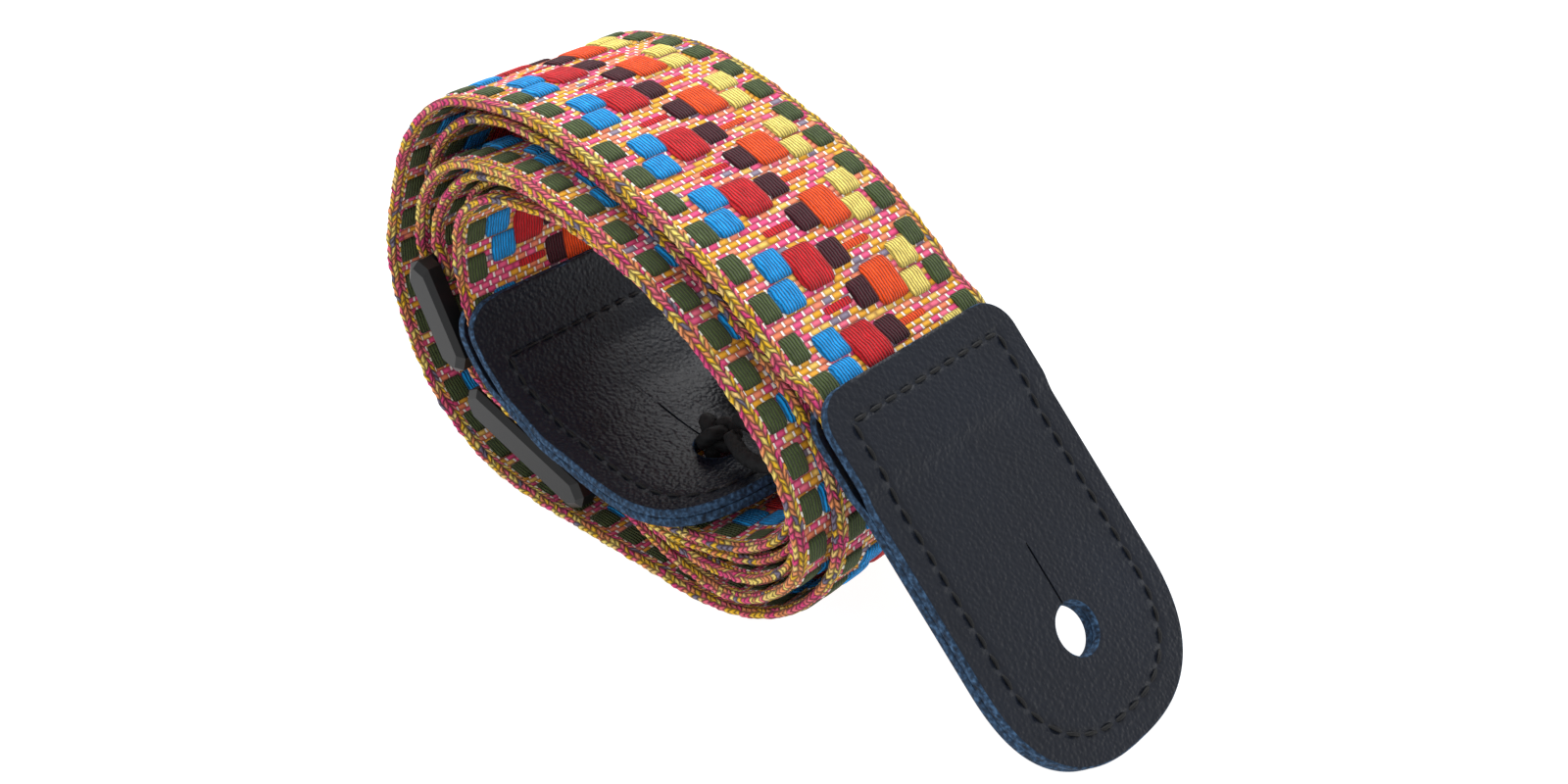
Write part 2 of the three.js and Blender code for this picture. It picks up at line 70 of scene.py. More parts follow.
# The roll's turns, as direction in degrees, radius in mm and sideways creep in mm.
OUTER_TURNS = [
    (21.5, 53.6, -1), (30, 51, -1.8), (45, 47.5, -2.4), (60, 44.6, -2), (75, 43.3, -1.2),
    (90, 44.8, -0.5), (105, 48.6, 0), (120, 53.9, 0), (135, 60.6, 0), (150, 63.9, 0), (165, 65, 0),
    (180, 67.5, 0), (195, 66.8, 0), (210, 64.3, 0), (225, 58.5, 0), (240, 50.9, 0), (255, 45.65, 0),
    (270, 44.1, 0), (285, 45.65, 0), (300, 50.9, 0), (315, 57, 0), (330, 61.6, 0), (345, 63.4, 0),
    (360, 59.8, 0), (375, 52.6, 0), (390, 45.6, 0), (405, 41.5, 0), (420, 39.6, 0), (435, 39.8, 0),
    (450, 41.7, 0), (465, 45.3, 0), (480, 50.4, 1), (495, 55.6, 2), (510, 58.4, 3), (525, 59.6, 4),
    (540, 59.3, 4.5), (555, 56.4, 4.5),
]
STRAND_TO_RING = [
    (270, 36.4, 3.5), (285, 39.5, 2), (300, 44.6, 0), (315, 51.3, -2.5), (330, 56.5, -5),
    (345, 60.4, -7), (360, 56.5, -8), (375, 49.1, -8), (390, 42.6, -8), (405, 38.6, -8),
    (420, 36.6, -8), (435, 36.2, -8), (450, 37.6, -8), (465, 39.8, -7), (480, 42.9, -5.5),
    (495, 47.9, -3.5), (510, 53.4, -1), (522, 56.5, 0),
]
STRAND_FROM_RING = [
    (522, 51.2, 0), (510, 48.6, -0.5), (495, 44.5, -2), (480, 39.6, -3), (465, 36.3, -4.5),
    (450, 34.1, -5.2), (435, 33.0, -5.6), (420, 33.7, -5.6), (405, 35.7, -5.6), (390, 39.6, -5.6),
    (375, 45.8, -5.6), (360, 53.8, -5.6), (345, 57.7, -5), (330, 53.2, -3.5), (315, 46.2, -1.5),
    (300, 40.2, 0.5), (285, 35.9, 2), (270, 33.8, 3.5),
]
SHORT_TURNS = [
    (212, 42.6, 0), (225, 36.6, 0), (240, 32.6, 0), (255, 30.0, 0), (270, 31.1, 0), (285, 33.2, 0),
    (300, 37.2, 0), (315, 42.6, 0), (330, 50.3, -0.5), (345, 55.1, -1.5), (360, 51.2, -2.5),
    (375, 42.8, -3), (390, 36.6, -3), (405, 32.8, -3), (420, 30.8, -3), (435, 30.1, -2.6),
    (450, 31.2, -1.6), (465, 33.4, -0.4), (480, 36.7, 0.8), (495, 41.9, 1.8), (510, 45.6, 2.6),
    (525, 45.3, 3), (540, 42.3, 3), (555, 38.6, 3), (570, 35.3, 2.5), (585, 32.0, 2),
    (600, 29.7, 1), (615, 27.2, 0), (630, 28.5, 0), (645, 30.6, -0.5), (660, 34.3, -0.5),
    (675, 39.4, -1), (690, 46.9, -1), (705, 52.4, -1), (720, 48.6, -1), (735, 39.8, -1),
    (750, 33.6, -1), (765, 29.9, -1), (780, 28.0, -1), (795, 27.3, -1), (810, 28.3, -1),
    (825, 30.5, -1), (840, 33.8, -1.5), (855, 39.2, -2), (870, 42.4, -2.5), (885, 40.6, -3),
]
INNER_TAB_LINE = [
    (178, 36.6, -4), (186, 35.2, -4), (195, 33.4, -4), (203, 31.6, -4), (212, 29.4, -4),
    (225, 26.5, -4), (240, 25, -4), (255, 23.7, -4), (270, 24.3, -4), (285, 26.2, -4),
    (300, 29.3, -4), (315, 33.6, -4), (330, 38.7, -4), (340, 42.5, -4),
]

# Ring and slider, in mm: a bar's half width and half thickness, then each piece's centre x and z, its lean,
# how far its end bars are from its middle, and how far the slider sits along Y.
BAR_HALF_WIDE = 2.1
BAR_HALF_THICK = 1.4
RING_CENTRE = (-70.3, 40.2)
RING_LEAN = math.radians(-62)
RING_BAR = 25 / 2 - BAR_HALF_WIDE
SLIDER_CENTRE = (-50.7, 13.3)
SLIDER_LEAN = math.radians(-17.1)
SLIDER_BAR = 38 / 2 - BAR_HALF_WIDE
SLIDER_SHIFT = 4.5
# From a bar's middle to the middle of the webbing round it, over the bar and past it: half the bar, a gap and
# half the webbing. LEAD_IN is how far past an end bar the webbing joins the roll's own line.
BAR_GAP = 0.5
BESIDE = BAR_HALF_THICK + BAR_GAP + 1.0
ROUND_ALONG = BAR_HALF_WIDE + BAR_GAP + 1.0
LEAD_IN = 4.0

# Leather tabs, in mm
TAB_WIDTH = 52.6
TAB_LENGTH = 82.5
TAB_CORNER = 7.0
# 2 would be a half-round tip; more is fuller at its shoulders.
TIP_POWER = 2.5
LEATHER = 1.9
LEATHER_GAP = 0.08
WEB_IN_TAB = 17.0
WEB_EASE_END = 22.0
HOLE_FROM_TIP = 22.9
HOLE_AT = TAB_LENGTH - HOLE_FROM_TIP
HOLE_DIAMETER = 10.0
SLIT_LENGTH = 13.0
SLIT_HALF_WIDE = 0.22
# How far in from a cut edge its rounding starts, and how many points a face has between hole and outline.
SOFT_EDGE = 0.45
FACE_POINTS = 56
STITCH_INSET = 5.5
OUTER_STITCH_END = 6.5
INNER_STITCH_END = 14.0
STITCH_PITCH = 4.2
THREAD_RADIUS = 0.42
# Points round a stitch's thread, and rings along it.
THREAD_SIDES = 8
THREAD_RINGS = 9
OUTER_TAB_SLOPE = math.radians(45.5)
OUTER_TAB_START = (31.4, 60.7)

# Webbing, in mm: width, thickness, half thickness on its ribs, what the floats that face out of the roll, the
# floats that face into it and the corded edges add to that, and the radius of its edges.
WEB_WIDTH = 50.0
WEB_THICK = 2.0
RIB_HALF = 0.6
FLOAT_RISE = 0.95
BACK_RISE = 0.5
EDGE_RISE = 0.38
EDGE_ROUND = 1.0
# Share of its thickness that the webbing keeps where the leathers squeeze it.
SQUEEZE = 0.62
# The pattern's length, and where it starts along the long webbing and along the short one.
PERIOD = 17.5
PHASE = 2.5
SHORT_PHASE = 10.5
# From one rib to the next, from one white tick to the next, and from one yarn of a float to the next.
RIB_PITCH = 1.3
TICK_PITCH = 2.6
YARN_PITCH = 0.7
# The corded edges: their width, and the width and length of a stitch in their columns.
CHAIN_WIDE = 2.5
CHAIN_COLUMN = 1.25
CHAIN_STITCH = 1.5
# How square a float's outline is across and along the webbing; 2 would be round.
ACROSS_POWER = 8.0
ALONG_POWER = 4.0
# Where the long webbing's mesh is cut, in mm along it, so that no piece has too many triangles.
LONG_CUTS = (110, 230, 480, 730)

# Tie cord, in mm
CORD_DIAMETER = 3.4
CORD_ROUTE = [
    (-5.6, -6.6, 27.9), (-2.6, -8.4, 28.2), (1.5, -10.4, 28.6), (6, -11.4, 29.4),
    (10.5, -10.8, 30.4), (14.4, -7.8, 31.2), (16.6, -3, 31.6), (16.4, 2.4, 31.6), (13.6, 7, 31.4),
    (9, 9.7, 31.2),
]
TAIL_ROUTE = [(-6.6, -3.4, 30.4), (-2.4, -4.4, 31.2), (2.4, -5.4, 32.2), (7, -5.6, 33.4), (11, -4.4, 34.6)]
HANK_CENTRE = np.array([-5.8, 18.5, 31.3])
HANK_LENGTH = 50.0
HANK_WIDE = 13.6
HANK_LAYERS = 3
# The knot's loop is a trefoil, stretched by these along X, Y and Z.
KNOT_SCALE = (1.3, 1.15, 1.5)
# The braid: points round the cord, strands that go each way, how fast they turn and how far they stand out.
BRAID_SIDES = 24
BRAID_STRANDS = 4
BRAID_TURN = 2.2
BRAID_RISE = 0.1

# Camera and lamp: places in metres, tilt and turn in degrees, sensor width in mm.
CAMERA_PLACE = (0.19435, -0.20945, 0.2201)
CAMERA_TILT = 32.602
CAMERA_TURN = 42.405
SENSOR_WIDTH = 36
LAMP_PLACE = (-0.35, 0.25, 0.85)
LAMP_LEAN = (math.radians(-16), math.radians(-24), 0)
LAMP_SIZE = 0.9
LAMP_POWER = 9


# -------- colours and nodes


def linear(code):
    """A colour written as sRGB hex, as linear RGBA."""
    values = [int(code[i : i + 2], 16) / 255 for i in (0, 2, 4)]
    return tuple(c / 12.92 if c <= 0.04045 else ((c + 0.055) / 1.055) ** 2.4 for c in values) + (1.0,)


def add_node(tree, kind, inputs=(), **settings):
    """Adds a node with its settings; inputs are pairs of an input and the value or socket it gets."""
    node = tree.nodes.new(kind)
    for key, value in settings.items():
        setattr(node, key, value)
    for key, value in inputs:
        if isinstance(value, bpy.types.NodeSocket):
            tree.links.new(value, node.inputs[key])
        else:
            node.inputs[key].default_value = value
    return node


def calc(tree, operation, *values, clamp=False):
    """The output of a Math node."""
    node = add_node(tree, "ShaderNodeMath", list(enumerate(values)), operation=operation, use_clamp=clamp)
    return node.outputs[0]


def blend_colour(tree, share, low, high, way="MIX"):
    """The output of a colour Mix node: low where share is 0, high where it is 1."""
    pairs = [(0, share), (6, low), (7, high)]
    node = add_node(tree, "ShaderNodeMix", pairs, data_type="RGBA", blend_type=way)
    return node.outputs[2]


def ramp(tree, share, stops, way="CONSTANT"):
    """A colour ramp's colour; stops are (place, sRGB hex) pairs."""
    node = add_node(tree, "ShaderNodeValToRGB", [(0, share)])
    node.color_ramp.interpolation = way
    while len(node.color_ramp.elements) < len(stops):
        node.color_ramp.elements.new(1.0)
    for element, (place, code) in zip(node.color_ramp.elements, stops):
        element.position = place
        element.color = linear(code)
    return node.outputs[0]


def random_value(tree, a, b):
    """A random value from 0 to 1 that is the same wherever a and b are the same."""
    vector = add_node(tree, "ShaderNodeCombineXYZ", [(0, a), (1, b)]).outputs[0]
    return add_node(tree, "ShaderNodeTexWhiteNoise", [(0, vector)], noise_dimensions="2D").outputs[0]


def new_material(name):
    """A material with a Principled shader; gives the material, its tree and the shader."""
    material = bpy.data.materials.new(name)
    material.use_nodes = True
    tree = material.node_tree
    return material, tree, tree.nodes["Principled BSDF"]


def raise_surface(tree, shader, height, strength=1.0):
    """Bumps a shader by a height in millimetres."""
    pairs = [("Strength", strength), ("Distance", MM), ("Height", height)]
    bump = add_node(tree, "ShaderNodeBump", pairs)
    tree.links.new(bump.outputs[0], shader.inputs["Normal"])


# The weave's raised floats: middle and half size across, middle and half size along, number per period,
# how far each rises as a share of the highest, colour.
FLOATS = [
    (5.2, 2.6, -3.1, 2.9, 2, 0.9, "47552f"),
    (10.9, 3.2, -3.1, 3.05, 1, 1.0, "1596e2"),
    (12.5, 3.3, 3.1, 3.15, 1, 1.0, "1596e2"),
    (19.3, 4.1, 0.0, 4.6, 1, 1.0, "c91a24"),
    (19.5, 3.6, 8.75, 0.8, 1, 0.2, "cf1c26"),
    (26.2, 2.9, 0.0, 3.0, 2, 0.8, "431420"),
    (32.2, 4.0, 8.75, 4.6, 1, 1.0, "f55016"),
    (32.3, 3.6, 0.0, 0.8, 1, 0.2, "ee4f1c"),
    (38.7, 2.9, 5.7, 2.9, 1, 1.0, "f3dc74"),
    (40.2, 3.0, 11.7, 2.95, 1, 1.0, "f3dc74"),
    (45.0, 2.5, 5.7, 2.9, 2, 0.9, "47552f"),
]


def arch_share(tree, across, along, block):
    """How near a point is to a float: 0 in its middle, 1 on its outline, a rectangle with round corners."""
    middle, half, start, reach, count, _, _ = block
    pitch = PERIOD / count
    from_middle = calc(tree, "SUBTRACT", across, middle)
    across_share = calc(tree, "ABSOLUTE", calc(tree, "DIVIDE", from_middle, half))
    from_start = calc(tree, "WRAP", calc(tree, "SUBTRACT", along, start), -pitch / 2, pitch / 2)
    along_share = calc(tree, "ABSOLUTE", calc(tree, "DIVIDE", from_start, reach))
    across_part = calc(tree, "POWER", across_share, ACROSS_POWER)
    along_part = calc(tree, "POWER", along_share, ALONG_POWER)
    return calc(tree, "ADD", across_part, along_part)


def shaded(tree, colour, share, shadow):
    """A yarn's colour, sinking to a shadow colour where share is 0."""
    return blend_colour(tree, share, linear(shadow), colour)


def rib_layer(tree, across, along):
    """Ribs of space-dyed yarn across the webbing, with white binder ticks over them: colour and height."""
    rib = calc(tree, "DIVIDE", along, RIB_PITCH)
    number = calc(tree, "FLOOR", rib)
    on_rib = calc(tree, "SINE", calc(tree, "MULTIPLY", calc(tree, "FRACT", rib), math.pi))
    length = calc(tree, "MULTIPLY_ADD", number, 0.5, calc(tree, "DIVIDE", across, TICK_PITCH))
    piece = calc(tree, "FLOOR", length)
    on_length = calc(tree, "SINE", calc(tree, "MULTIPLY", calc(tree, "FRACT", length), math.pi))
    pick = random_value(tree, piece, number)
    gold = [(0.0, "f0ad2e"), (0.4, "f5c763"), (0.62, "f28a63"), (0.8, "ee5f8c"), (0.95, "8b8296")]
    rosy = [(0.0, "ec5286"), (0.4, "f0708a"), (0.6, "f48f6e"), (0.8, "f2b03c"), (0.95, "8b8296")]
    odd = calc(tree, "MODULO", calc(tree, "ABSOLUTE", number), 2.0)
    colour = blend_colour(tree, odd, ramp(tree, pick, gold), ramp(tree, pick, rosy))
    lit = calc(tree, "MULTIPLY_ADD", calc(tree, "MULTIPLY", on_rib, on_length), 0.75, 0.4, clamp=True)
    colour = shaded(tree, colour, lit, "5e2229")
    near_tick = calc(tree, "MULTIPLY", calc(tree, "SUBTRACT", 0.36, on_length), 9.0, clamp=True)
    tick_long = calc(tree, "MULTIPLY", calc(tree, "SUBTRACT", on_rib, 0.2), 5.0, clamp=True)
    kept = calc(tree, "LESS_THAN", random_value(tree, number, calc(tree, "ADD", piece, 7.5)), 0.85)
    tick = calc(tree, "MULTIPLY", calc(tree, "MULTIPLY", near_tick, tick_long), kept)
    colour = blend_colour(tree, tick, colour, linear("fffaf2"))
    height = calc(tree, "MULTIPLY", on_rib, calc(tree, "MULTIPLY_ADD", on_length, 0.2, 0.14))
    return colour, calc(tree, "MULTIPLY_ADD", tick, 0.16, height)


def float_layer(tree, across, along, noise, colour, height):
    """Lays the raised floats over the ribs: yarns side by side that arch up and dive at both ends. Painted
    shade darkens the grooves between yarns and each float towards its outline, and a painted contact shadow
    rings each float.
    """
    wobbly = calc(tree, "MULTIPLY_ADD", noise, 0.7, across)
    yarn = calc(tree, "ABSOLUTE", calc(tree, "SINE", calc(tree, "MULTIPLY", wobbly, math.pi / YARN_PITCH)))
    # Painted shade in the grooves between the yarns, times a random tone that varies over the yarns.
    yarn_shade_and_tone = calc(tree, "MULTIPLY", calc(tree, "MULTIPLY_ADD", yarn, 0.7, 0.42),
                  calc(tree, "MULTIPLY_ADD", noise, 0.9, 0.55))
    for block in FLOATS:
        outline = arch_share(tree, across, along, block)
        share = calc(tree, "MULTIPLY", calc(tree, "SUBTRACT", 1.0, outline), 6.0, clamp=True)
        # Painted contact shadow: a dark ring of colour round each float, fading out from its outline.
        float_contact_shadow = calc(tree, "MULTIPLY", calc(tree, "SUBTRACT", 1.9, outline), 0.6, clamp=True)
        dive = calc(tree, "SUBTRACT", 1.0, calc(tree, "MULTIPLY", outline, outline), clamp=True)
        lit = calc(tree, "MULTIPLY", yarn_shade_and_tone, calc(tree, "MULTIPLY_ADD", dive, 0.6, 0.45))
        painted = blend_colour(tree, 1.0, linear(block[6]), lit, way="MULTIPLY")
        # Darkens the ribs round the float towards the painted contact shadow colour.
        colour = blend_colour(tree, calc(tree, "MULTIPLY", float_contact_shadow, 0.5), colour, linear("3a1418"))
        colour = blend_colour(tree, share, colour, painted)
        top = calc(tree, "MULTIPLY_ADD", yarn, 0.34, calc(tree, "MULTIPLY", dive, 0.4 * block[5]))
        gap = calc(tree, "SUBTRACT", top, height)
        height = calc(tree, "MULTIPLY_ADD", gap, share, height)
    return colour, height


def edge_layer(tree, across, along, noise, colour, height):
    """Lays the corded edges over the rest: columns of slanting stitches that lean one way and the other."""
    far_side = calc(tree, "SUBTRACT", WEB_WIDTH, across)
    true_inset = calc(tree, "MINIMUM", across, far_side)
    inset = calc(tree, "MULTIPLY_ADD", noise, 0.9, calc(tree, "SUBTRACT", true_inset, 0.45))
    side = calc(tree, "GREATER_THAN", across, WEB_WIDTH / 2)
    column = calc(tree, "DIVIDE", calc(tree, "ADD", inset, 1.0), CHAIN_COLUMN)
    column_number = calc(tree, "FLOOR", column)
    in_column = calc(tree, "FRACT", column)
    odd = calc(tree, "MODULO", calc(tree, "ABSOLUTE", column_number), 2.0)
    lean = calc(tree, "MULTIPLY_ADD", odd, 2.0, -1.0)
    slant = calc(tree, "MULTIPLY_ADD", calc(tree, "MULTIPLY", in_column, lean), 1.3, along)
    slant = calc(tree, "MULTIPLY_ADD", noise, 1.4, slant)
    stitch = calc(tree, "DIVIDE", slant, CHAIN_STITCH)
    stitch_number = calc(tree, "FLOOR", stitch)
    on_stitch = calc(tree, "SINE", calc(tree, "MULTIPLY", calc(tree, "FRACT", stitch), math.pi))
    on_column = calc(tree, "SINE", calc(tree, "MULTIPLY", in_column, math.pi))
    run = calc(tree, "FLOOR", calc(tree, "MULTIPLY", calc(tree, "ADD", stitch_number, column_number), 0.4))
    seed = calc(tree, "MULTIPLY_ADD", side, 9.0, column_number)
    run_value = random_value(tree, run, seed)
    own_value = random_value(tree, stitch_number, seed)
    mixed = calc(tree, "MULTIPLY_ADD", own_value, 0.4, calc(tree, "MULTIPLY", run_value, 0.6))
    chain = ramp(tree, mixed, [
        (0.0, "7a7288"), (0.16, "f2bf2c"), (0.34, "f8dc72"), (0.46, "f39a62"), (0.57, "ef6d80"),
        (0.72, "e2457f"), (0.84, "f7cf7e"),
    ])
    round_stitch = calc(tree, "MULTIPLY", on_stitch, on_column)
    lit = calc(tree, "MULTIPLY_ADD", round_stitch, 1.05, 0.12, clamp=True)
    chain = shaded(tree, chain, lit, "331a1a")
    on_chain = calc(tree, "MULTIPLY", calc(tree, "SUBTRACT", CHAIN_WIDE, inset), 4.0, clamp=True)
    colour = blend_colour(tree, on_chain, colour, chain)
    gap = calc(tree, "SUBTRACT", calc(tree, "MULTIPLY", round_stitch, 0.5), height)
    return colour, calc(tree, "MULTIPLY_ADD", gap, on_chain, height)


def webbing_material():
    """Jacquard webbing woven of dyed cotton and polyester yarns, with raised floats and corded edges."""
    material, tree, shader = new_material("jacquard webbing")
    place = add_node(tree, "ShaderNodeSeparateXYZ", [(0, add_node(tree, "ShaderNodeUVMap").outputs[0])])
    across = calc(tree, "MULTIPLY", place.outputs[0], 100.0)
    along = calc(tree, "MULTIPLY", place.outputs[1], 1000.0)
    spot = add_node(tree, "ShaderNodeTexCoord").outputs["Object"]
    noise = add_node(tree, "ShaderNodeTexNoise", [(0, spot), ("Scale", 520.0), ("Detail", 3.0)]).outputs[0]
    colour, height = rib_layer(tree, across, along)
    colour, height = float_layer(tree, across, along, noise, colour, height)
    colour, height = edge_layer(tree, across, along, noise, colour, height)
    tree.links.new(colour, shader.inputs["Base Color"])
    shader.inputs["Roughness"].default_value = 0.85
    shader.inputs["Specular IOR Level"].default_value = 0.2
    shader.inputs["Sheen Weight"].default_value = 0.08
    raise_surface(tree, shader, height)
    return material


def leather_material():
    """Dyed black full-grain leather with a fine pebble grain and a bare, fibrous, blue-dyed cut edge."""
    material, tree, shader = new_material("black pebbled leather")
    place = add_node(tree, "ShaderNodeTexCoord").outputs["Object"]
    cells = add_node(tree, "ShaderNodeTexVoronoi", [(0, place), ("Scale", 1300.0)], feature="SMOOTH_F1")
    grain = add_node(tree, "ShaderNodeTexNoise", [(0, place), ("Scale", 650.0), ("Detail", 3.0)])
    tone = add_node(tree, "ShaderNodeTexNoise", [(0, place), ("Scale", 45.0), ("Detail", 2.0)])
    fibre = add_node(tree, "ShaderNodeTexNoise", [(0, place), ("Scale", 1100.0), ("Detail", 4.0)])
    cut = add_node(tree, "ShaderNodeAttribute", attribute_name="cut").outputs["Fac"]
    seam = add_node(tree, "ShaderNodeAttribute", attribute_name="seam").outputs["Fac"]
    near_seam = calc(tree, "DIVIDE", seam, 0.75)
    dip = calc(tree, "EXPONENT", calc(tree, "MULTIPLY", calc(tree, "MULTIPLY", near_seam, near_seam), -1.0))
    face = blend_colour(tree, tone.outputs[0], linear("0a0e17"), linear("121926"))
    edge = ramp(tree, fibre.outputs[0], [(0.3, "121c29"), (0.5, "223850"), (0.75, "46678a")], way="LINEAR")
    on_cut = calc(tree, "MULTIPLY", calc(tree, "SUBTRACT", cut, 0.35), 4.0, clamp=True)
    tree.links.new(blend_colour(tree, on_cut, face, edge), shader.inputs["Base Color"])
    fine = calc(tree, "MULTIPLY", grain.outputs[0], 0.2)
    pebble = calc(tree, "MULTIPLY_ADD", cells.outputs[0], -0.22, fine)
    tree.links.new(calc(tree, "MULTIPLY_ADD", on_cut, 0.5, 0.4), shader.inputs["Roughness"])
    shader.inputs["Specular IOR Level"].default_value = 0.25
    height = calc(tree, "MULTIPLY_ADD", dip, -0.35, pebble)
    height = calc(tree, "MULTIPLY_ADD", calc(tree, "MULTIPLY", on_cut, fibre.outputs[0]), 0.25, height)
    raise_surface(tree, shader, height)
    return material


def plain_material(name, code, roughness, grain=0.0, grain_size=1.0, specular=0.5):
    """A single-coloured moulded or spun finish with a grain this high and this far apart, in millimetres."""
    material, tree, shader = new_material(name)
    place = add_node(tree, "ShaderNodeTexCoord").outputs["Object"]
    pairs = [(0, place), ("Scale", 1000.0 / grain_size), ("Detail", 3.0)]
    noise = add_node(tree, "ShaderNodeTexNoise", pairs)
    shader.inputs["Base Color"].default_value = linear(code)
    shader.inputs["Roughness"].default_value = roughness
    shader.inputs["Specular IOR Level"].default_value = specular
    raise_surface(tree, shader, calc(tree, "MULTIPLY", noise.outputs[0], grain))
    return material


# -------- meshes


def finish_mesh(name, points, faces, face_uv, material, body):
    """A smooth mesh of quads from points in mm; a face whose last two corners are equal is a triangle."""
    corner = points[faces]
    cross = np.cross(corner[:, 1] - corner[:, 0], corner[:, 2] - corner[:, 0])
    cross += np.cross(corner[:, 2] - corner[:, 0], corner[:, 3] - corner[:, 0])
    if np.einsum("ij,ij->", corner.mean(1) - points.mean(0), cross) < 0:
        faces, face_uv = faces[:, ::-1], face_uv[:, ::-1]
    kept = np.ones(faces.shape, bool)
    kept[:, 1:] = faces[:, 1:] != faces[:, :-1]
    counts = kept.sum(1)
    mesh = bpy.data.meshes.new(name)
    mesh.vertices.add(len(points))
    mesh.vertices.foreach_set("co", (points * MM).astype(np.float32).ravel())
    mesh.loops.add(int(counts.sum()))
    mesh.loops.foreach_set("vertex_index", faces[kept].astype(np.int32))
    mesh.polygons.add(len(faces))
    mesh.polygons.foreach_set("loop_start", (np.cumsum(counts) - counts).astype(np.int32))
    mesh.polygons.foreach_set("use_smooth", np.ones(len(faces), bool))
    layer = mesh.uv_layers.new(name="UVMap")
    layer.data.foreach_set("uv", face_uv[kept].astype(np.float32).ravel())
    mesh.update(calc_edges=True)
    mesh.validate()
    mesh.materials.append(material)
    obj = bpy.data.objects.new(name, mesh)
    bpy.context.scene.collection.objects.link(obj)
    if body:
        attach(obj, body)
    return obj


def skin(rings, uv, joined=False):
    """Quads between rings of points; joined closes the last ring to the first, else the ends are capped."""
    count, size = rings.shape[:2]
    i = np.arange(count if joined else count - 1)[:, None]
    j = np.arange(size)[None, :]
    after, beside = (i + 1) % count, (j + 1) % size
    faces = np.stack([i * size + j, i * size + beside, after * size + beside, after * size + j], -1)
    face_uv = np.stack([uv[i, j], uv[i, j + 1], uv[i + 1, j + 1], uv[i + 1, j]], -2)
    faces, face_uv, points = faces.reshape(-1, 4), face_uv.reshape(-1, 4, 2), rings.reshape(-1, 3)
    if not joined:
        for end, turn in ((0, -1), (count - 1, 1)):
            centre = len(points)
            points = np.vstack([points, rings[end].mean(0)])
            a, b = end * size + j[0], end * size + beside[0]
            cap = np.stack([a, b, b, np.full(size, centre)], -1)[:, ::turn]
            faces = np.vstack([faces, cap[:, [0, 1, 3, 3]] if turn > 0 else cap[:, [0, 2, 3, 3]]])
            face_uv = np.concatenate([face_uv, np.repeat(uv[end, :size][:, None], 4, 1)])
    return points, faces, face_uv


def smooth_line(points, step):
    """Even samples of the centripetal Catmull-Rom curve through points, and their distance along it."""
    points = np.asarray(points, float)
    padded = np.vstack([2 * points[0] - points[1], points, 2 * points[-1] - points[-2]])
    gaps = np.maximum(np.linalg.norm(np.diff(padded, axis=0), axis=1) ** 0.5, 1e-4)
    dense = 40
    share = np.linspace(0, 1, dense, endpoint=False)[None, :, None]
    p0, p1, p2, p3 = (padded[k : len(padded) - 3 + k][:, None] for k in range(4))
    d0, d1, d2 = (gaps[k : len(gaps) - 2 + k][:, None, None] for k in range(3))
    way1 = ((p1 - p0) / d0 - (p2 - p0) / (d0 + d1) + (p2 - p1) / d1) * d1
    way2 = ((p2 - p1) / d1 - (p3 - p1) / (d1 + d2) + (p3 - p2) / d2) * d1
    a, b = 2 * p1 - 2 * p2 + way1 + way2, -3 * p1 + 3 * p2 - 2 * way1 - way2
    curve = ((a * share + b) * share + way1) * share + p1
    curve = np.vstack([curve.reshape(-1, 3), points[-1]])
    reach = np.concatenate([[0], np.cumsum(np.linalg.norm(np.diff(curve, axis=0), axis=1))])
    at = np.linspace(0, reach[-1], max(3, int(math.ceil(reach[-1] / step)) + 1))
    return np.stack([np.interp(at, reach, curve[:, k]) for k in range(3)], 1), at


def in_roll(turns):
    """Points of the roll, x, y, z, from directions, radii and sideways creep."""
    turns = np.asarray(turns, float)
    angle = np.radians(turns[:, 0])
    x, z = CORE[0] + turns[:, 1] * np.cos(angle), CORE[1] + turns[:, 1] * np.sin(angle)
    return np.stack([x, turns[:, 2], z], 1)


def beside_piece(centre, lean, side, places):
    """Points given along and across a plastic piece that leans in the XZ plane."""
    along, inward = np.asarray(places, float).T
    x = centre[0] + along * math.cos(lean) - inward * math.sin(lean)
    z = centre[1] + along * math.sin(lean) + inward * math.cos(lean)
    return np.stack([x, np.full(len(x), float(side)), z], 1)


def round_bar(centre, lean, bar, first, last, side):
    """The webbing's way round a bar, from one angle to another in degrees."""
    angle = np.radians(np.linspace(first, last, 9))
    places = np.stack([bar + ROUND_ALONG * np.cos(angle), BESIDE * np.sin(angle)], 1)
    return beside_piece(centre, lean, side, places)


def outer_tab_line(places):
    """Points of the outer tab's middle line, which runs straight down its slope."""
    places = np.asarray(places, float)
    x = OUTER_TAB_START[0] + places * math.cos(OUTER_TAB_SLOPE)
    z = OUTER_TAB_START[1] - places * math.sin(OUTER_TAB_SLOPE)
    return np.stack([x, np.zeros(len(x)), z], 1)


def long_route():
    """The long webbing's way, from inside the outer tab to its end on the slider's middle bar."""
    over = BESIDE + WEB_THICK + 0.7
    bar = SLIDER_BAR
    through = [
        (-bar - 3, BESIDE + 0.6), (-bar + 1, BESIDE), (-7.5, -2.6), (-1.6, -over), (1.6, -over),
        (8, -2), (bar - 1, BESIDE), (bar + 3, BESIDE - 0.1),
    ]
    back = [(bar + 3, BESIDE + WEB_THICK + 0.4), (bar - 1, BESIDE + WEB_THICK + 0.5), (8, BESIDE + 1.0)]
    slider = (SLIDER_CENTRE, SLIDER_LEAN, SLIDER_SHIFT)
    ring = (RING_CENTRE, RING_LEAN)
    return np.vstack([
        outer_tab_line([WEB_IN_TAB - 1, 11, 6, 2, -0.6]),
        in_roll(OUTER_TURNS),
        beside_piece(*slider, through),
        in_roll(STRAND_TO_RING),
        beside_piece(*ring, 0, [(-RING_BAR - LEAD_IN, -BESIDE - 0.2)]),
        round_bar(*ring, -RING_BAR, -90, 90, 0),
        beside_piece(*ring, 0, [(-RING_BAR - LEAD_IN, BESIDE + 0.2)]),
        in_roll(STRAND_FROM_RING),
        beside_piece(*slider, back),
        round_bar(SLIDER_CENTRE, SLIDER_LEAN, 0, 90, 270, SLIDER_SHIFT),
        beside_piece(*slider, [(2.4, -BESIDE + 0.3)]),
    ])


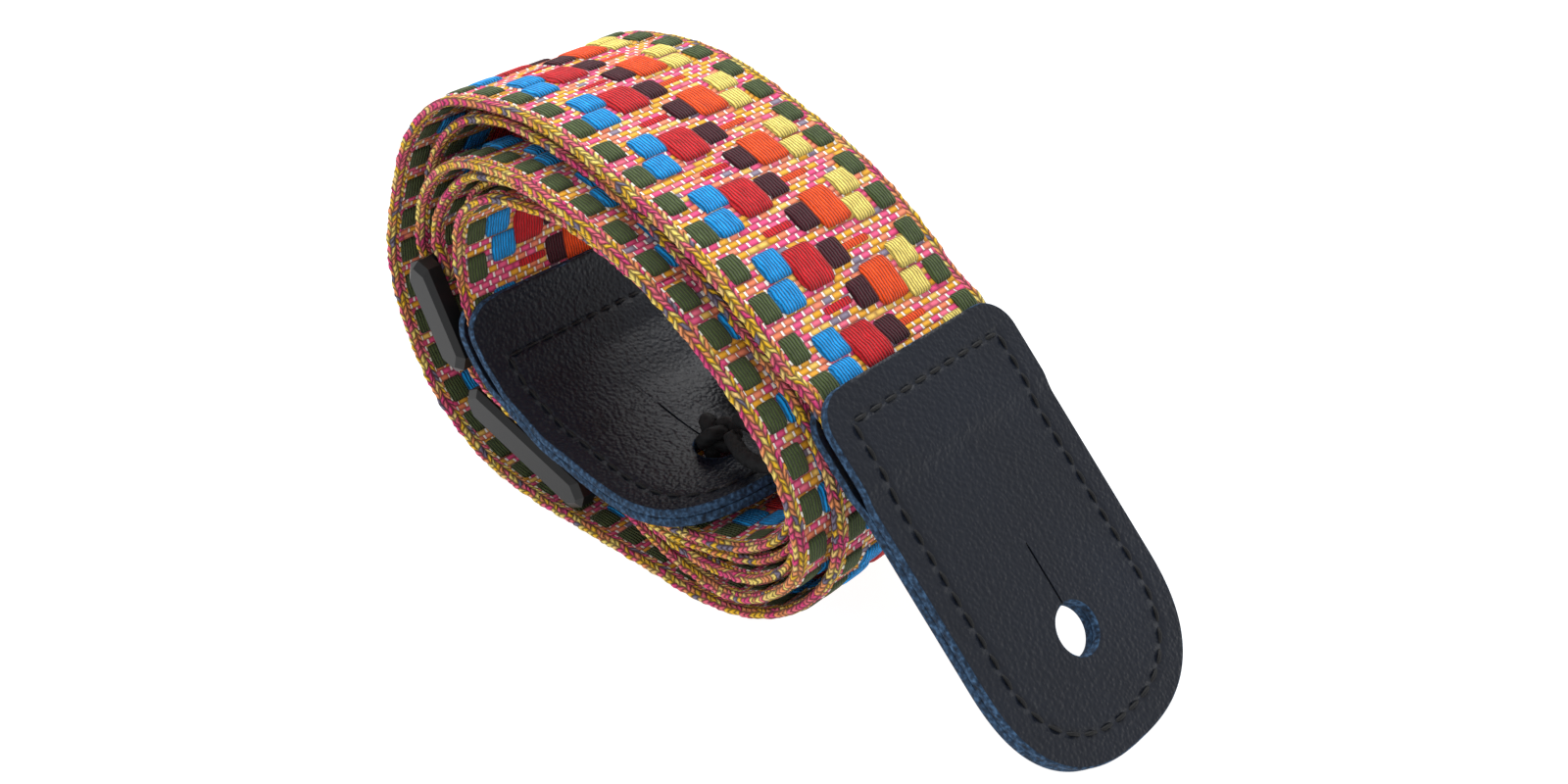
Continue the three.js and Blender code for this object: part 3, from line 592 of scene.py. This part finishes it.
def short_route():
    """The short webbing's way, round the ring's lower bar and on to inside the inner tab."""
    ring = (RING_CENTRE, RING_LEAN)
    inner = [turn for turn in INNER_TAB_LINE if turn[0] < 200]
    return np.vstack([
        in_roll([(212, 39.7, 0)]),
        beside_piece(*ring, 0, [(RING_BAR + LEAD_IN, BESIDE + 0.2)]),
        round_bar(*ring, RING_BAR, 90, 270, 0),
        beside_piece(*ring, 0, [(RING_BAR + LEAD_IN, -BESIDE - 0.2)]),
        in_roll(SHORT_TURNS),
        in_roll(inner),
    ])


def weave_height(across, along, float_rise):
    """How far the webbing's face stands from its middle: ribs, an arch over each float, and corded edges."""
    rise = np.zeros(np.broadcast(across, along).shape)
    for middle, half, start, reach, count, share, _ in FLOATS:
        pitch = PERIOD / count
        from_middle = np.abs((along - start + pitch / 2) % pitch - pitch / 2)
        outline = (np.abs(across - middle) / half) ** ACROSS_POWER + (from_middle / reach) ** ALONG_POWER
        rise = np.maximum(rise, np.clip(1 - outline, 0, 1) ** 0.5 * share)
    inset = np.minimum(across, WEB_WIDTH - across)
    cord = np.clip(1 - ((inset - 1.2) / 1.8) ** 2, 0, 1) ** 0.5
    return RIB_HALF + float_rise * rise + EDGE_RISE * cord


def webbing_section(step):
    """Points round the webbing's section: place across, place across the pattern, share of the height.

    The share is 1 on one face, -1 on the other, and goes from one to the other round each edge.
    """
    points = int((WEB_WIDTH - 2 * EDGE_ROUND) / step)
    flat = np.linspace(EDGE_ROUND, WEB_WIDTH - EDGE_ROUND, points)
    turn = np.radians(np.linspace(90, -90, 9))[1:-1]
    bulge = EDGE_ROUND * np.cos(turn)
    edge_mark = EDGE_ROUND * (1 - (1 - np.abs(turn) / (math.pi / 2)) * math.pi / 2)
    across = np.concatenate([flat, WEB_WIDTH - EDGE_ROUND + bulge, flat[::-1], EDGE_ROUND - bulge])
    mark = np.concatenate([flat, WEB_WIDTH - edge_mark, flat[::-1], edge_mark])
    side = np.concatenate([np.ones(len(flat)), np.sin(turn), -np.ones(len(flat)), -np.sin(turn)])
    return across, mark, side


def webbing(name, line, along, first, last, body, step, node, in_tab, phase):
    """One stretch of webbing: a closed skin round the line, rising over the floats, round at both edges.

    in_tab is how far along the line the webbing's own end inside a tab is; towards that end the leathers
    squeeze the cloth flatter. phase is where along the line the pattern starts.
    """
    chosen = (along >= first - 1e-6) & (along <= last + 1e-6)
    way = np.gradient(line, axis=0)
    way[:, 1] = 0
    way /= np.linalg.norm(way, axis=1, keepdims=True)
    normal = np.stack([-way[:, 2], np.zeros(len(way)), way[:, 0]], 1)[chosen]
    middle, at = line[chosen], along[chosen]
    across, mark, side = webbing_section(step)
    from_core = middle - [CORE[0], 0, CORE[1]]
    from_core[:, 1] = 0
    outward = np.einsum("ij,ij->i", normal, from_core) / np.linalg.norm(from_core, axis=1)
    facing_out = 0.5 + 0.5 * side[None] * np.clip(outward * 4, -1, 1)[:, None]
    float_rise = BACK_RISE + (FLOAT_RISE - BACK_RISE) * facing_out
    on_face = np.clip(across, EDGE_ROUND, WEB_WIDTH - EDGE_ROUND)
    height = weave_height(on_face[None], at[:, None] - phase, float_rise)
    out_of_tab = at - in_tab if in_tab < along[-1] / 2 else in_tab - at
    height = height * (SQUEEZE + (1 - SQUEEZE) * np.clip((out_of_tab + 1) / 4, 0, 1))[:, None]
    near_edge = np.clip(np.abs(across / WEB_WIDTH - 0.5) * 2 * 12.5 - 11.5, 0, 1)
    edge_share = near_edge * np.sign(across - WEB_WIDTH / 2)
    wave = 0.16 * np.sin(at * 2.3 + 1.9 * np.sin(at * 0.61)) + 0.12 * np.sin(at * 0.9)
    across = across[None] + wave[:, None] * edge_share[None]
    rings = middle[:, None] + normal[:, None] * (side[None] * height)[..., None]
    rings[..., 1] += across - WEB_WIDTH / 2
    mark = np.append(mark, mark[0])
    uv = np.stack(np.broadcast_arrays(mark[None] / 100, (at[:, None] - phase) / 1000), -1)
    rings = rings + STAND
    rings[..., 2] = np.maximum(rings[..., 2], 0)
    points, faces, face_uv = skin(rings, uv)
    obj = finish_mesh(name, points, faces, face_uv, MATERIALS["webbing"], body)
    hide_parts(*node)
    return obj


def round_tip(half, first, last, count):
    """Points of a tab's tip from one angle to another: |x / half| ^ power + |y / half| ^ power = 1."""
    swing = np.radians(np.linspace(first, last, count))
    ahead = np.abs(np.cos(swing)) ** (2 / TIP_POWER)
    beside = np.sign(swing) * np.abs(np.sin(swing)) ** (2 / TIP_POWER)
    return np.stack([TAB_LENGTH - TAB_WIDTH / 2 + half * ahead, half * beside], 1)


def tab_outline():
    """The outline of a tab as along and across: round corners at its straight end, a full, rounded tip."""
    half = TAB_WIDTH / 2
    swing = np.radians(np.linspace(0, 90, 60))
    in_from_end = TAB_CORNER - TAB_CORNER * np.cos(swing)
    corner = np.stack([in_from_end, half - TAB_CORNER + TAB_CORNER * np.sin(swing)], 1)
    side = np.stack([np.linspace(TAB_CORNER, TAB_LENGTH - half, 200), np.full(200, half)], 1)
    nose = round_tip(half, 90, 0, 400)
    upper = np.vstack([[[0, 0]], corner, side, nose])
    return np.vstack([upper, (upper * [1, -1])[::-1]])


def seam_distance(along, across, end_inset):
    """How far a point of a tab is from its row of stitches: positive inside it."""
    half = TAB_WIDTH / 2 - STITCH_INSET
    tip = TAB_LENGTH - TAB_WIDTH / 2
    beside = half - np.abs(across)
    past_tip = np.maximum(along - tip, 0)
    at_tip = half - (past_tip**TIP_POWER + np.abs(across) ** TIP_POWER) ** (1 / TIP_POWER)
    return np.minimum(np.where(along > tip, at_tip, beside), along - end_inset)


def leather_offset(along):
    """How far a leather's middle stands off its tab's middle: out over the webbing, then eased back."""
    closed = LEATHER_GAP / 2 + LEATHER / 2
    opened = (RIB_HALF + BACK_RISE + 0.1) * SQUEEZE + LEATHER_GAP + LEATHER / 2
    share = np.clip((along - WEB_IN_TAB) / (WEB_EASE_END - WEB_IN_TAB), 0, 1)
    return opened + (closed - opened) * share * share * (3 - 2 * share)


def tab_place(points):
    """The frame of a tab: a function that gives points at lengths along it, across it and off its middle."""
    line, at = smooth_line(points, 0.25)
    way = np.gradient(line, axis=0)
    normal = np.stack([-way[:, 2], np.zeros(len(way)), way[:, 0]], 1)
    normal /= np.linalg.norm(normal, axis=1, keepdims=True)

    def place(along, across, off):
        middle = np.stack([np.interp(along, at, line[:, k]) for k in range(3)], -1)
        up = np.stack([np.interp(along, at, normal[:, k]) for k in range(3)], -1)
        found = middle + up * off[..., None]
        found[..., 1] += across
        return found

    return place


def hole_and_outline():
    """Directions round a tab's button hole, and how far its own or its slit's edge and the outline are."""
    hole = HOLE_DIAMETER / 2
    even = np.linspace(-math.pi, math.pi, 720, endpoint=False)
    by_slit = np.array([0.002, 0.004, 0.008, 0.013, 0.02, 0.03, 0.04, 0.05, 0.065])
    angle = np.unique(np.concatenate([even, math.pi - by_slit, by_slit - math.pi]))
    outline = tab_outline()
    seen = np.arctan2(outline[:, 1], outline[:, 0] - HOLE_AT)
    far = np.hypot(outline[:, 1], outline[:, 0] - HOLE_AT)
    order = np.argsort(seen)
    outer = np.interp(angle, seen[order], far[order], period=2 * math.pi)
    slit = np.abs(SLIT_HALF_WIDE / np.maximum(np.abs(np.sin(angle)), 1e-3))
    backward = np.abs(angle) > math.pi / 2
    inner = np.where(backward, np.maximum(hole, np.minimum(hole + SLIT_LENGTH, slit)), hole)
    return angle, inner, outer


def leather_section(inner, outer):
    """Points round a leather's section in each direction: how far out, how high, and cut or face.

    Height is 1 on one face and -1 on the other. The slit's sides are not rounded and count as face.
    """
    at_hole = inner <= HOLE_DIAMETER / 2 + 0.01
    share = np.linspace(0, 1, FACE_POINTS)
    swing = np.radians(np.linspace(90, -90, 9))[1:-1]
    bulge = SOFT_EDGE * np.cos(swing)[None] ** 0.5
    out_rim = outer[:, None] - SOFT_EDGE + bulge
    in_rim = inner[:, None] + (SOFT_EDGE - bulge) * at_hole[:, None]
    face_in = inner + SOFT_EDGE * at_hole
    face = face_in[:, None] + (outer - SOFT_EDGE - face_in)[:, None] * share[None]
    reach = np.concatenate([face, out_rim, face[:, ::-1], in_rim[:, ::-1]], 1)
    half = np.sign(np.sin(swing)) * np.abs(np.sin(swing)) ** 0.6
    height = np.concatenate([np.ones(FACE_POINTS), half, -np.ones(FACE_POINTS), half[::-1]])
    on_face, on_rim = np.zeros(FACE_POINTS), np.ones(len(swing))
    cut = np.concatenate([on_face, on_rim, on_face, on_rim])[None].repeat(len(inner), 0)
    cut[~at_hole, 2 * FACE_POINTS + len(swing) :] = 0
    return reach, height, cut


def leather(name, place, side, body, end_inset):
    """One leather of a tab: a skin from its button hole and slit to its outline, with rounded cut edges."""
    angle, inner, outer = hole_and_outline()
    reach, height, cut = leather_section(inner, outer)
    along = HOLE_AT + reach * np.cos(angle)[:, None]
    across = reach * np.sin(angle)[:, None]
    off = side * leather_offset(along) + height[None] * LEATHER / 2
    rings = place(along, across, off) + STAND
    uv = np.zeros((len(rings) + 1, rings.shape[1] + 1, 2))
    points, faces, face_uv = skin(rings, uv, joined=True)
    obj = finish_mesh(name, points, faces, face_uv, MATERIALS["leather"], body)
    seam = seam_distance(along, across, end_inset)
    for label, values in (("cut", cut), ("seam", seam)):
        attribute = obj.data.attributes.new(label, "FLOAT", "POINT")
        attribute.data.foreach_set("value", np.ascontiguousarray(values, np.float32).ravel())
    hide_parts(name.replace("_skin", ""))
    return obj


def seam_path(end_inset):
    """Even points along a tab's row of stitches, as along and across, one for each end of a stitch."""
    half = TAB_WIDTH / 2 - STITCH_INSET
    start = [[end_inset, -half]]
    path = np.vstack([start, round_tip(half, -90, 90, 120), [[end_inset, half]], start])
    reach = np.concatenate([[0], np.cumsum(np.linalg.norm(np.diff(path, axis=0), axis=1))])
    count = int(round(reach[-1] / STITCH_PITCH))
    at = np.arange(count + 1) * reach[-1] / count
    return np.stack([np.interp(at, reach, path[:, k]) for k in range(2)], 1)


def stitches(name, place, side, body, end_inset, node):
    """A row of stitches: each a short round thread that rises out of the leather and dives at both ends."""
    path = seam_path(end_inset)
    start, end = path[:-1], path[1:]
    way = end - start
    beside = np.stack([-way[:, 1], way[:, 0]], 1) / np.linalg.norm(way, axis=1)[:, None]
    share = np.linspace(0.08, 0.92, THREAD_RINGS)
    swing = np.linspace(0, 2 * math.pi, THREAD_SIDES, endpoint=False)
    thick = THREAD_RADIUS * np.sin(np.linspace(0.25, math.pi - 0.25, THREAD_RINGS)) ** 0.4
    middle = start[:, None] + way[:, None] * share[None, :, None]
    aside = thick[None, :, None] * np.cos(swing)[None, None]
    flat = middle[:, :, None] + beside[:, None, None] * aside[..., None]
    arch = np.sin(np.linspace(0, math.pi, THREAD_RINGS)) * 0.38 - 0.3
    up = arch[None, :, None] + (thick[:, None] * np.sin(swing)[None])[None]
    up = np.broadcast_to(up, flat.shape[:3])
    along, across = flat[..., 0], flat[..., 1]
    off = side * (leather_offset(along) + LEATHER / 2 + up)
    rings = place(along, across, off) + STAND
    points, faces, face_uv = [], [], []
    for one in rings:
        found = skin(one, np.zeros((THREAD_RINGS, THREAD_SIDES + 1, 2)))
        faces.append(found[1] + sum(len(p) for p in points))
        points.append(found[0])
        face_uv.append(found[2])
    obj = finish_mesh(name, np.vstack(points), np.vstack(faces), np.concatenate(face_uv),
                      MATERIALS["thread"], body)
    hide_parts(node)
    return obj


def braided(name, line, joined, body, nodes):
    """A braided cord round a line: strands that cross left and right as raised diamonds."""
    way = np.gradient(line, axis=0)
    if joined:
        way = np.roll(line, -1, 0) - np.roll(line, 1, 0)
    way /= np.linalg.norm(way, axis=1, keepdims=True)
    beside = np.cross(way, [0, 0, 1.0])
    beside /= np.linalg.norm(beside, axis=1, keepdims=True)
    over = np.cross(beside, way)
    reach = np.concatenate([[0], np.cumsum(np.linalg.norm(np.diff(line, axis=0), axis=1))])
    swing = np.linspace(0, 2 * math.pi, BRAID_SIDES, endpoint=False)[None]
    left = np.sin(BRAID_STRANDS * swing + reach[:, None] * BRAID_TURN)
    right = np.sin(BRAID_STRANDS * swing - reach[:, None] * BRAID_TURN)
    radius = CORD_DIAMETER / 2 * (1 - BRAID_RISE + BRAID_RISE * np.maximum(left, right))
    out = beside[:, None] * np.cos(swing)[..., None] + over[:, None] * np.sin(swing)[..., None]
    rings = line[:, None] + out * radius[..., None] + STAND
    uv = np.zeros((len(rings) + 1, BRAID_SIDES + 1, 2))
    points, faces, face_uv = skin(rings, uv, joined)
    obj = finish_mesh(name, points, faces, face_uv, MATERIALS["cord"], body)
    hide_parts(*nodes)
    return obj


def hank_route():
    """The cord's way through its hank: flat loops stacked one on another, long runs with round ends."""
    straight, bend = (HANK_LENGTH - HANK_WIDE) / 2, (HANK_WIDE - CORD_DIAMETER) / 2
    swing = np.radians(np.linspace(-90, -270, 9))
    left = np.stack([-straight + bend * np.cos(swing), bend * np.sin(swing)], 1)
    loop = np.vstack([left, -left])
    turns = np.vstack([loop] * HANK_LAYERS)[:-5]
    fall = np.linspace(0.5, -0.5, len(turns)) * CORD_DIAMETER * 2
    start = [[0, -bend, CORD_DIAMETER]]
    return np.vstack([start, np.column_stack([turns, fall])]) + HANK_CENTRE


MATERIALS = {}


def make_materials():
    """Makes every material, once."""
    if MATERIALS:
        return
    MATERIALS["webbing"] = webbing_material()
    MATERIALS["leather"] = leather_material()
    MATERIALS["thread"] = plain_material("waxed black thread", "0b0c0f", 0.6, 0.1, 0.4, 0.3)
    MATERIALS["plastic"] = plain_material("moulded satin nylon", "0c0d0f", 0.4, 0.012, 0.5, 0.35)
    MATERIALS["cord"] = plain_material("braided black polyester", "0d0e11", 0.75, 0.1, 0.25, 0.3)
    MATERIALS["band"] = plain_material("matt black rubber", "131416", 0.7, 0.02, 0.6)


# -------- add-on


class StrapWebbingSettings(bpy.types.PropertyGroup):
    """Settings of the woven webbing."""

    step: bpy.props.FloatProperty(
        name="Mesh step", description="Distance between mesh points", default=0.0006, min=0.0003,
        unit="LENGTH",
    )


class StrapCordSettings(bpy.types.PropertyGroup):
    """Settings of the braided tie cord."""

    step: bpy.props.FloatProperty(
        name="Mesh step", description="Distance between rings of the braid", default=0.0004,
        unit="LENGTH",
    )


class StrapStageSettings(bpy.types.PropertyGroup):
    """Settings of the camera, floor and light."""

    lens: bpy.props.FloatProperty(
        name="Lens", description="Focal length of the camera", default=0.03887,
        subtype="DISTANCE_CAMERA",
    )
    sky: bpy.props.FloatProperty(name="Room light", description="Strength of the even light", default=0.9)


class STRAP_OT_stage(bpy.types.Operator):
    """Makes the camera, the pale floor and the soft studio light."""

    bl_idname = "strap.stage"
    bl_label = "Stage"

    def execute(self, context):
        settings = context.scene.strap_stage
        camera = bpy.data.objects.new("camera", bpy.data.cameras.new("camera"))
        camera.data.lens = settings.lens * 1000
        camera.data.sensor_width = SENSOR_WIDTH
        camera.location = CAMERA_PLACE
        camera.rotation_euler = (math.radians(90 - CAMERA_TILT), 0, math.radians(CAMERA_TURN))
        context.scene.collection.objects.link(camera)
        context.scene.camera = camera
        bpy.ops.mesh.primitive_plane_add(size=6)
        floor = context.object
        floor.name = "floor"
        material, _, shader = new_material("white table")
        shader.inputs["Base Color"].default_value = (0.3, 0.3, 0.3, 1)
        shader.inputs["Roughness"].default_value = 0.9
        shader.inputs["Emission Color"].default_value = (1, 1, 1, 1)
        shader.inputs["Emission Strength"].default_value = 0.92
        floor.data.materials.append(material)
        lamp = bpy.data.objects.new("softbox", bpy.data.lights.new("softbox", "AREA"))
        lamp.data.size = LAMP_SIZE
        lamp.data.energy = LAMP_POWER
        lamp.location = LAMP_PLACE
        lamp.rotation_euler = LAMP_LEAN
        context.scene.collection.objects.link(lamp)
        world = bpy.data.worlds.new("studio")
        world.use_nodes = True
        world.node_tree.nodes["Background"].inputs[0].default_value = (1, 1, 1, 1)
        world.node_tree.nodes["Background"].inputs[1].default_value = settings.sky
        context.scene.world = world
        context.scene.view_settings.view_transform = "Standard"
        return {"FINISHED"}


class STRAP_OT_cord(bpy.types.Operator):
    """Makes the tie cord with its knot, free end, hank and band."""

    bl_idname = "strap.cord"
    bl_label = "Tie cord"

    def execute(self, context):
        make_materials()
        step = context.scene.strap_cord.step * 1000
        line, at = smooth_line(np.vstack([CORD_ROUTE, hank_route()]), step)
        cord = braided("tie_cord_braid", line, False, "roll", ["tie_cord", "tie_cord_hank"])
        tail, _ = smooth_line(TAIL_ROUTE, step)
        free_end = braided("tie_cord_tail_braid", tail, False, "roll", ["tie_cord_tail"])
        t = np.linspace(0, 2 * math.pi, 240, endpoint=False)
        x, y = np.sin(t) + 2 * np.sin(2 * t), np.cos(t) - 2 * np.cos(2 * t)
        knot = np.stack([x, y, -np.sin(3 * t)], 1) * KNOT_SCALE
        low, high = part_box("tie_cord_knot")
        middle = (np.array(low) + np.array(high)) / 2 / MM - STAND - [0, 0, 1.2]
        lump = braided("tie_cord_knot_braid", knot + middle, True, "roll", ["tie_cord_knot"])
        down = [[-0.8, 0, 0.5], [-0.6, -0.6, -2], [-0.4, -1.2, -4.5], [0, -1.2, -6.4]]
        through, _ = smooth_line(middle + down, step)
        below = braided("tie_cord_in_hole_braid", through, False, "roll", ["tie_cord_knot"])
        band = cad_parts["hank_band"]
        band.data.materials.clear()
        band.data.materials.append(MATERIALS["band"])
        return {"FINISHED"}


class STRAP_OT_webbing(bpy.types.Operator):
    """Makes both lengths of jacquard webbing."""

    bl_idname = "strap.webbing"
    bl_label = "Webbing"

    def execute(self, context):
        make_materials()
        step = context.scene.strap_webbing.step * 1000
        line, at = smooth_line(long_route(), step)
        cuts = [0, *LONG_CUTS, at[-1] + 1]
        cuts = [at[np.argmin(np.abs(at - c))] for c in cuts]
        for number, (first, last) in enumerate(zip(cuts[:-1], cuts[1:])):
            nodes = ["long_webbing", "long_webbing_end"] if number == 0 else ["long_webbing"]
            body = None if number == 0 else "roll"
            name = f"long_webbing_cloth_{number + 1}"
            piece = webbing(name, line, at, first, last, body, step, nodes, WEB_IN_TAB - 1, PHASE)
            if number == 0:
                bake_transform(piece)
        line, at = smooth_line(short_route(), step)
        cuts = [0, at[len(at) // 2], at[-1]]
        for number, (first, last) in enumerate(zip(cuts[:-1], cuts[1:])):
            name = f"short_webbing_cloth_{number + 1}"
            in_tab = at[-1] - WEB_IN_TAB + 1
            webbing(name, line, at, first, last, "roll", step, ["short_webbing"], in_tab, SHORT_PHASE)
        return {"FINISHED"}


class STRAP_OT_tabs(bpy.types.Operator):
    """Makes the leathers and stitches of both tabs."""

    bl_idname = "strap.tabs"
    bl_label = "Leather tabs"

    def execute(self, context):
        make_materials()
        lines = {
            "outer_tab": outer_tab_line([0, 28, 56, TAB_LENGTH + 1]),
            "inner_tab": in_roll(INNER_TAB_LINE),
        }
        for tab, points in lines.items():
            body = "outer_tab" if tab == "outer_tab" else "roll"
            place = tab_place(points)
            end_inset = OUTER_STITCH_END if tab == "outer_tab" else INNER_STITCH_END
            leather(f"{tab}_face_leather_skin", place, 1, body, end_inset)
            leather(f"{tab}_back_leather_skin", place, -1, body, end_inset)
            stitches(f"{tab}_stitches", place, 1, body, end_inset, f"{tab}_stitching")
        return {"FINISHED"}


class STRAP_OT_hardware(bpy.types.Operator):
    """Gives the moulded ring and slider their finish and soft edges."""

    bl_idname = "strap.hardware"
    bl_label = "Ring and slider"

    def execute(self, context):
        make_materials()
        for name in ("ring", "slider"):
            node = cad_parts[name]
            node.data.materials.clear()
            node.data.materials.append(MATERIALS["plastic"])
            soften = node.modifiers.new("soft edges", "BEVEL")
            soften.width = 0.0004
            soften.segments = 3
            soften.limit_method = "ANGLE"
            soften.harden_normals = True
        return {"FINISHED"}


class STRAP_PT_panel(bpy.types.Panel):
    """Buttons that build the strap piece by piece."""

    bl_idname = "STRAP_PT_panel"
    bl_label = "Rolled strap"
    bl_space_type = "VIEW_3D"
    bl_region_type = "UI"
    bl_category = "Strap"

    def draw(self, context):
        scene = context.scene
        self.layout.prop(scene.strap_stage, "lens")
        self.layout.prop(scene.strap_stage, "sky")
        self.layout.operator("strap.stage")
        self.layout.prop(scene.strap_cord, "step")
        self.layout.operator("strap.cord")
        self.layout.prop(scene.strap_webbing, "step")
        self.layout.operator("strap.webbing")
        self.layout.operator("strap.tabs")
        self.layout.operator("strap.hardware")


CLASSES = (
    StrapWebbingSettings, StrapCordSettings, StrapStageSettings, STRAP_OT_stage, STRAP_OT_cord,
    STRAP_OT_webbing, STRAP_OT_tabs, STRAP_OT_hardware, STRAP_PT_panel,
)


def register():
    for one in CLASSES:
        bpy.utils.register_class(one)
    bpy.types.Scene.strap_webbing = bpy.props.PointerProperty(type=StrapWebbingSettings)
    bpy.types.Scene.strap_cord = bpy.props.PointerProperty(type=StrapCordSettings)
    bpy.types.Scene.strap_stage = bpy.props.PointerProperty(type=StrapStageSettings)


def unregister():
    del bpy.types.Scene.strap_stage
    del bpy.types.Scene.strap_cord
    del bpy.types.Scene.strap_webbing
    for one in reversed(CLASSES):
        bpy.utils.unregister_class(one)


def main():
    register()
    bpy.ops.strap.stage()
    bpy.ops.strap.cord()
    bpy.ops.strap.webbing()
    bpy.ops.strap.tabs()
    bpy.ops.strap.hardware()


if __name__ == "__main__":
    main()
